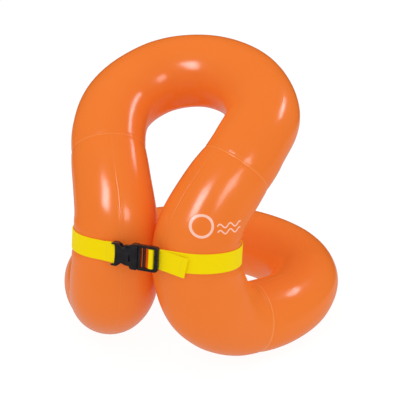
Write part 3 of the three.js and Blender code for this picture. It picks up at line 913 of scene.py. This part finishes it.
def female_outline():
    rim, end, waist = -SLEEVE_LENGTH, -FEMALE_LENGTH, WAIST_HALF
    upper = [(0, MOUTH_HALF - 0.8), (-0.8, MOUTH_HALF), (rim + 2, MOUTH_HALF)]
    upper += bezier((rim + 2, MOUTH_HALF), (rim, MOUTH_HALF), (rim - 1, MOUTH_HALF - 3), steps=4)
    upper += bezier(upper[-1], (-12, waist), (-18, waist - 0.5), (-21.5, waist + 2.2), steps=10)
    upper += bezier(upper[-1], (-24, FEMALE_END_HALF - 1.6), (-27, FEMALE_END_HALF), steps=6)
    upper += bezier((end + 1.5, FEMALE_END_HALF), (end, FEMALE_END_HALF), (end, FEMALE_END_HALF - 1.5),
                    steps=3)
    return mirrored(upper)


def buckle_female():
    back, front = BUCKLE_Y + FEMALE_HALF, BUCKLE_Y - FEMALE_HALF
    inner_back, inner_front = back - FEMALE_WALL, front + FEMALE_WALL
    rim = -SLEEVE_LENGTH
    body = extruded("female", female_outline(), front, back)
    hood = mirrored([(-FEMALE_LENGTH - 1, SLOT_HALF - 0.6)] + bezier(
        (-31, SLOT_HALF - 0.6), (-29.4, SLOT_HALF - 0.6), (-29.2, SLOT_HALF - 3.5), (-28.9, 0.2), steps=8))
    tools = [
        block(rim - 1, 1, inner_front, inner_back, -SLEEVE_HALF, SLEEVE_HALF),
        block(-24.6, rim, inner_front, inner_back, -20, 20),
        block(-FEMALE_LENGTH - 1, -26.1, inner_front, back + 1, -SLOT_HALF, SLOT_HALF),
        block(-11, -9.4, front - 1, inner_front + 0.5, -6.5, 1.5),
        extruded("hood", hood, front - 1, inner_front + 0.5),
    ]
    boolean(body, tools)
    reach = MOUTH_HALF - 2.5
    ribs = [block(x, x + 0.8, front - 0.35, front + 0.4, -reach, reach) for x in (-3.6, -1.9)]
    boolean(body, ribs + [rod(BAR_X, BAR_Y, BAR_RADIUS, SLOT_HALF + 0.5)], "UNION")
    plastic_piece(body, "buckle_female_fine", 0.65, "root", "buckle_female")


def buckle_male():
    back, front = BUCKLE_Y + MALE_HALF, BUCKLE_Y - MALE_HALF
    corner = MALE_LENGTH - MALE_CORNER
    upper = [(0.3, MOUTH_HALF - 0.4), (0.7, MOUTH_HALF)]
    upper += bezier((corner, MOUTH_HALF), (MALE_LENGTH, MOUTH_HALF), (MALE_LENGTH, MOUTH_HALF - MALE_CORNER))
    body = extruded("male", mirrored(upper), front, back)
    spans = ((3.4, 6.6), (8.8, GRIP_LOW), (GRIP_HIGH, LAST_SLOT_END))
    tools = []
    for a, b in spans:
        slot = rounded([(a, -SLOT_HALF), (b, -SLOT_HALF), (b, SLOT_HALF), (a, SLOT_HALF)], 0.9)
        tools.append(extruded("slot", slot, front - 1, back + 1))
    tools.append(block(13, MALE_LENGTH + 1, GRIP_BACK, back + 1, -SLOT_HALF, SLOT_HALF))
    tools.append(block(13, LAST_SLOT_END - 0.1, front - 1, GRIP_FRONT, -SLOT_HALF, SLOT_HALF))
    boolean(body, tools)
    tongue = extruded("tongue", mirrored([(1, 2.6), (-18.4, 2.6), (-19.6, 1.9), (-20, 0.9)]),
                      BUCKLE_Y - 2.2, BUCKLE_Y + 2.2)
    boolean(body, [tongue], "UNION")
    plastic_piece(body, "buckle_male_fine", 0.7, "male_half", "buckle_male")


def buckle_arm(side, name, body_name):
    upper = [(0, 6.2), (0, 9.2), (-9.5, 9.2), (-9.6, 11.8)]
    upper += bezier((-9.6, 12.4), (-12, 13.4), (-15, 12.8)) + bezier((-15, 12.8), (-21, 12.2), (-23.6, 6.6))
    upper += [(-23.2, 5.4), (-11, 5.8), (-9, 6.2)]
    body = extruded("arm", upper, BUCKLE_Y - 2.7, BUCKLE_Y + 2.7)
    grooves = []
    for x in (-12.4, -14.2, -16.0, -17.8):
        top = np.interp(x, [-18.6, -15, -12.3, -9.6], [11.45, 12.8, 13.0, 12.4])
        grooves.append(block(x - 0.35, x + 0.35, BUCKLE_Y - 3, BUCKLE_Y + 3, top - 0.3, top + 1))
    boolean(body, grooves)
    if side < 0:
        turn = Matrix.Translation((0, BUCKLE_Y, 0)) @ Matrix.Rotation(math.pi, 4, "X")
        body.data.transform(turn @ Matrix.Translation((0, -BUCKLE_Y, 0)))
    plastic_piece(body, name + "_fine", 0.25, body_name, name)


def build_buckle():
    buckle_female()
    buckle_male()
    buckle_arm(1, "buckle_upper_arm", "upper_arm")
    buckle_arm(-1, "buckle_lower_arm", "lower_arm")


# ---------------- valves


def valve_frame(name):
    """A valve's own frame, +Z out of the tube and +X along it, from its two joints in the record."""
    out = Vector(joints[f"{name}_stem_slide"]["axis"]).normalized()
    hinge = joints[f"{name}_plug_hinge"]
    across = -Vector(hinge["axis"]).normalized()
    along = across.cross(out)
    origin = Vector(hinge["pos_m"]) - MM * (HINGE_X * along + HINGE_Z * out)
    return frame_matrix(along, across, out, origin)


def surface_finder(film):
    """Finds the film's surface from a point along a direction, both in the object's metres."""
    tree = BVHTree.FromPolygons([v.co for v in film.data.vertices],
                                [tuple(p.vertices) for p in film.data.polygons])
    return lambda start, towards: tree.ray_cast(start, towards)[0]


def film_height(film, place, reach=25):
    """How high the film stands over a valve's own plane at a point, in mm."""
    find = surface_finder(film)
    out = pointing(place, 0, 0, 1)

    def height(x, y):
        start = place @ Vector((x, y, reach))
        hit = find(start, -out)
        return reach - (start - hit).length / MM if hit else 0.0
    return height


def valve_flange(name, film, place):
    """A soft flange that follows the film, with a knurled weld round its rim and a skirt inside."""
    bore = FLANGE_BORE
    rim = [(FLANGE_RADIUS, -0.35), (FLANGE_RADIUS, 0.12)]
    rim += [(FLANGE_RADIUS - k, 0.42) for k in (0.4, 0.9, 1.4)]
    rings = [(r, 0.42) for r in np.arange(10.2, 7.6, -0.4)]
    collar = [(7.4, 0.5), (7.1, 0.72), (6.8, 0.78), (bore + 0.1, 0.7), (bore, 0.5)]
    inside = [(bore, FLANGE_FOOT), (7.5, FLANGE_FOOT), (7.5, -1.6), (FLANGE_RADIUS - 0.6, -0.6)]
    obj = turned(f"{name}_flange_fine", rim + rings + collar + inside, 160)
    height = film_height(film, place)
    for vert in obj.data.vertices:
        x, y, z = vert.co
        reach = math.hypot(x, y)
        follow = min(max((reach - 6.6) / 2, 0), 1) if z > FLANGE_FOOT else 0
        knurl = 0.13 * math.sin(32 * math.atan2(y, x)) * hump(reach - 10.9, 0.9)
        vert.co.z = z + (knurl if z > 0 else 0) + follow * height(x, y)
    place_piece(obj, place)
    finish_piece(obj, FILM_WELD, "pvc_film", "root", f"{name}_valve_flange")


def open_film(film, centre):
    """Opens the film under a flange, so that the stem can go through it."""
    with editing(film) as bm:
        hole = [face for face in bm.faces if (face.calc_center_median() - centre).length < FILM_HOLE * MM]
        bmesh.ops.delete(bm, geom=hole, context="FACES")


def moulded(outline, corner, half_width, edge):
    """A small moulded part from its side view, with rounded corners and softened edges."""
    return soften_edges(extruded("moulded", rounded(outline, corner), -half_width, half_width), edge)


def valve_stem(name, place):
    top, foot = STEM_TOP, STEM_FOOT
    outside = [(3.0, foot), (7.1, foot)] + arc(7.1, foot + 0.6, 0.3, -90, 90)
    outside += [(STEM_RADIUS, foot + 1.2)]
    for z in (foot + 5, foot + 8, foot + 11):
        outside += [(STEM_RADIUS - 0.15, z), (STEM_RADIUS + 0.1, z + 0.3), (STEM_RADIUS - 0.15, z + 0.6)]
    outside += [(STEM_RADIUS - 0.1, top - 1.6), (STEM_RADIUS, top - 1.3)]
    outside += arc(STEM_RADIUS - 0.4, top - 0.4, 0.4, 0, 90) + arc(4.6, top - 0.4, 0.4, 90, 180)
    tube = turned("stem", outside + [(3.0, top - 6)])
    lug = moulded([(-5, 0.65), (-9.4, 0.65), (-9.4, 2.9), (-8.85, 2.9), (-8.75, 1.95), (-5, 1.95)],
                  0.3, 2, 0.2)
    piece = place_piece(joined(f"{name}_stem_fine", [tube, lug]), place)
    finish_piece(piece, MILKY, "valve_pvc", f"{name}_stem", f"{name}_valve_stem")


def valve_plug(name, place):
    base = STEM_TOP + 0.3
    cap = [(0, base - 5.8), (1.6, base - 5.8), (2.1, base - 5.4), (2.25, base - 4.6), (2.05, base - 4.2)]
    cap += [(3.5, base), (5.7, base)] + arc(5.6, base + 0.4, 0.4, -60, 0)
    cap += arc(5.4, base + 1.0, 0.6, 0, 90) + [(4.3, base + 1.5), (3.9, base + 1.1), (0, base + 1.15)]
    stopper = turned("stopper", cap)
    strap = moulded([(-4.6, base), (HINGE_X, base + 0.05), (HINGE_X, base + 0.75),
                     (-6.6, base + 0.5), (-4.6, base + 0.9)], 0.3, 2, 0.15)
    tab = moulded([(5, base + 0.2), (8.2, base + 0.35), (8.2, base + 1.0), (5, base + 1.1)],
                  0.25, 1.8, 0.2)
    pin = rod(0, 0, 0.55, 2, 24)
    pin.data.transform(Matrix.Translation((HINGE_X, 0, HINGE_Z)) @ Matrix.Rotation(math.pi / 2, 4, "X"))
    soften_edges(pin, 0.15)
    piece = place_piece(joined(f"{name}_plug_fine", [stopper, strap, tab, pin]), place)
    finish_piece(piece, MILKY, "valve_pvc", f"{name}_plug", f"{name}_valve_plug")


def build_valves(films):
    for name in VALVE_NAMES:
        place = valve_frame(name)
        valve_flange(name, films[name], place)
        open_film(films[name], place.translation)
        valve_stem(name, place)
        valve_plug(name, place)
        frame["nodes"][f"{name}_valve_flap"].data.materials[0] = MILKY


# ---------------- belt keepers and print


def keeper(side, film, name):
    """A film bridge on the back of a leg: welded at both ends, free where the belt goes through."""
    find = surface_finder(film)
    inward = pointing(BELT, 0, -1, 0)
    to_local = BELT.inverted()
    half_width, half_height = 9, 20.5
    across = np.linspace(-half_width, half_width, 25)
    along = np.linspace(-half_height, half_height, 83)
    skin = np.zeros((len(across), len(along)))
    for i, u in enumerate(across):
        for k, v in enumerate(along):
            hit = find(BELT @ Vector((side * (LEG_AXIS_X + u), 90, v)), inward)
            skin[i, k] = (to_local @ hit).y if hit else BELT_LINE
    outer = BELT_LINE * np.sqrt(1 - (np.maximum(across, 0) / BELT_SIDE_LINE) ** 2) + WEB / 2
    height = np.abs(along)
    clear = smooth_step((15.6 - height) / 2.6)
    low = skin + 0.15
    bridge = (outer + 0.35)[:, None]
    inside = low + clear[None, :] * (np.maximum(bridge, low) - low)
    foot = np.clip((height - 16.4) / 0.6, 0, 1) * np.clip((20.2 - height) / 0.4, 0, 1)
    wave_u, wave_v = (np.sin(2 * math.pi * axis / 1.5) for axis in (across, along))
    knurl = foot[None, :] * 0.1 * wave_u[:, None] * wave_v
    to_side = np.minimum(1, (half_width + 0.02 - np.abs(across)) / 0.5)
    to_end = np.minimum(1, (half_height + 0.05 - height) / 0.5)
    edge = to_side[:, None] * to_end
    outside = inside + 0.12 + 0.68 * np.sqrt(np.clip(edge, 0, 1)) - 0.25 * foot[None, :] + knurl
    rows, count = skin.shape
    grid_u, grid_v = np.meshgrid(side * (LEG_AXIS_X + across), along, indexing="ij")
    verts = np.concatenate([np.stack([grid_u, layer, grid_v], -1).reshape(-1, 3)
                            for layer in (inside, outside)])
    grid = np.arange(rows * count).reshape(rows, count)
    quads = np.stack([grid[:-1, :-1], grid[1:, :-1], grid[1:, 1:], grid[:-1, 1:]], -1).reshape(-1, 4)
    rim = np.concatenate([grid[0, :], grid[1:, -1], grid[-1, -2::-1], grid[-2:0:-1, 0]])
    walls = np.column_stack([rim, np.roll(rim, -1), np.roll(rim, -1) + rows * count, rim + rows * count])
    faces = np.concatenate([quads, quads[:, ::-1] + rows * count, walls])
    obj = outward(place_piece(mesh_object(name + "_fine", verts, faces), BELT))
    finish_piece(obj, FILM_WELD, "pvc_film", "root", name)


def printed_line(line, width, find, verts, faces, rounded_ends=True):
    """Adds a low ribbon along a line on the print's own plane, projected onto the film."""
    towards = pointing(PRINT_PLACE, 0, 0, -1)
    line = np.array(line)
    slope = unit_rows(np.gradient(line, axis=0))
    normal = np.column_stack([-slope[:, 1], slope[:, 0]])
    run = run_along(line)
    to_end = np.minimum(run, run[-1] - run) if rounded_ends else run + width
    half = width / 2 * np.sqrt(np.clip(to_end / (width / 2) + 0.02, 0, 1))
    base = len(verts)
    for point, side, reach in zip(line, normal, half):
        for share in (-1, -0.5, 0, 0.5, 1):
            u, v = point + share * reach * side
            hit = find(PRINT_PLACE @ Vector((u, v, 60)), towards)
            lift = 0.12 if abs(share) < 1 else 0.02
            verts.append(tuple((hit - towards * lift * MM) / MM))
    faces += [(base + i * 5 + k, base + i * 5 + k + 1, base + i * 5 + k + 6, base + i * 5 + k + 5)
              for i in range(len(line) - 1) for k in range(4)]


def leg_print(film):
    """A plain printed pictogram on the right leg, over the belt: a ring and two waves."""
    find = surface_finder(film)
    verts, faces = [], []
    angles = np.linspace(0, 2 * math.pi, 97)
    ring = np.column_stack([np.cos(angles), np.sin(angles)]) * RING_MARK + [RING_MARK_X, RING_MARK_Y]
    printed_line(ring, 3.2, find, verts, faces, rounded_ends=False)
    along = np.linspace(WAVE_START, WAVE_END, 80)
    for height in WAVE_HEIGHTS:
        wave = height + 2.5 * np.sin(2 * math.pi * (along - WAVE_START) / 14)
        printed_line(np.column_stack([along, wave]), 1.7, find, verts, faces)
    ribbons = outward(place_piece(mesh_object("leg_print", verts, faces), MM_TO_METRES))
    finish_piece(ribbons, PRINT, "pvc_film", "root")


films = build_tube()
build_belt()
build_buckle()
build_valves(films)
keeper(1, films["right_leg"], "right_belt_keeper")
keeper(-1, films["left_leg"], "left_belt_keeper")
leg_print(films["right_leg"])

# ---------------- camera, light and floor


def aim(obj, azimuth, elevation, distance, target):
    """Puts a camera or light off the target, facing it; azimuth 0 is in front, positive to the right."""
    a, e = math.radians(azimuth), math.radians(elevation)
    back = Vector((math.sin(a) * math.cos(e), -math.cos(a) * math.cos(e), math.sin(e)))
    obj.location = Vector(target) + back * distance
    obj.rotation_mode = "QUATERNION"
    obj.rotation_quaternion = back.to_track_quat("Z", "Y")


def make_camera():
    camera = new_object("camera", bpy.data.cameras.new("camera"))
    aim(camera, 20.3, 23.5, 2.2385, (0.0313, -0.0652, 0.1995))
    camera.data.lens = 159.6
    camera.data.sensor_width = 36
    bpy.context.scene.camera = camera


def soft_box(name, azimuth, elevation, width, height, power, colour=(1, 1, 1)):
    """A rectangular soft box that only draws highlights, since the white world gives the light."""
    light = bpy.data.lights.new(name, "AREA")
    light.shape = "RECTANGLE"
    light.size, light.size_y = width, height
    light.energy = power
    light.color = colour
    obj = new_object(name, light)
    aim(obj, azimuth, elevation, 1.6, (0.03, -0.09, 0.23))
    obj.visible_diffuse = False


def make_studio():
    world = bpy.data.worlds.new("studio")
    world.use_nodes = True
    tree = world.node_tree
    where = node(tree, "ShaderNodeTexCoord")
    parts = node(tree, "ShaderNodeSeparateXYZ")
    strength = node(tree, "ShaderNodeMapRange", From_Min=-1.0, From_Max=1.0, To_Min=0.8, To_Max=1.06)
    wire(where, "Generated", parts, "Vector")
    wire(parts, "Z", strength, "Value")
    wire(strength, "Result", set_node(tree.nodes["Background"], Color=(1, 1, 1, 1)), "Strength")
    bpy.context.scene.world = world
    world.cycles_visibility.glossy = False
    cool = (0.92, 1.0, 1.15)
    soft_box("box_front", -13, 41, 0.5, 0.6, 29, cool)
    soft_box("box_right", 50.5, 28.5, 0.44, 0.42, 9.5, cool)
    soft_box("box_back_right", 134, 32.5, 0.46, 0.18, 6.4, cool)
    soft_box("glow_below", 0, -90, 10, 10, 140)
    bpy.context.scene.view_settings.view_transform = "Standard"


def make_floor():
    material, tree, shader = new_material("pale_floor")
    speckle = noise_node(tree, 3.0, 2.0)
    shade = ramp(speckle, 0.2, 0.8, ((0.08, 0.08, 0.08), (0.1, 0.1, 0.1)))
    wire(shade, "Color", shader, "Base Color")
    set_node(shader, Roughness=0.8, Emission_Color=(1, 1, 1, 1), Emission_Strength=0.93)
    size = 20
    floor = mesh_object("floor", [(-size, -size, 0), (size, -size, 0), (size, size, 0), (-size, size, 0)],
                        [(0, 1, 2, 3)])
    floor.data.materials.append(material)
    floor.visible_diffuse = False
    floor.visible_glossy = False
    floor.visible_shadow = False


make_camera()
make_studio()
make_floor()
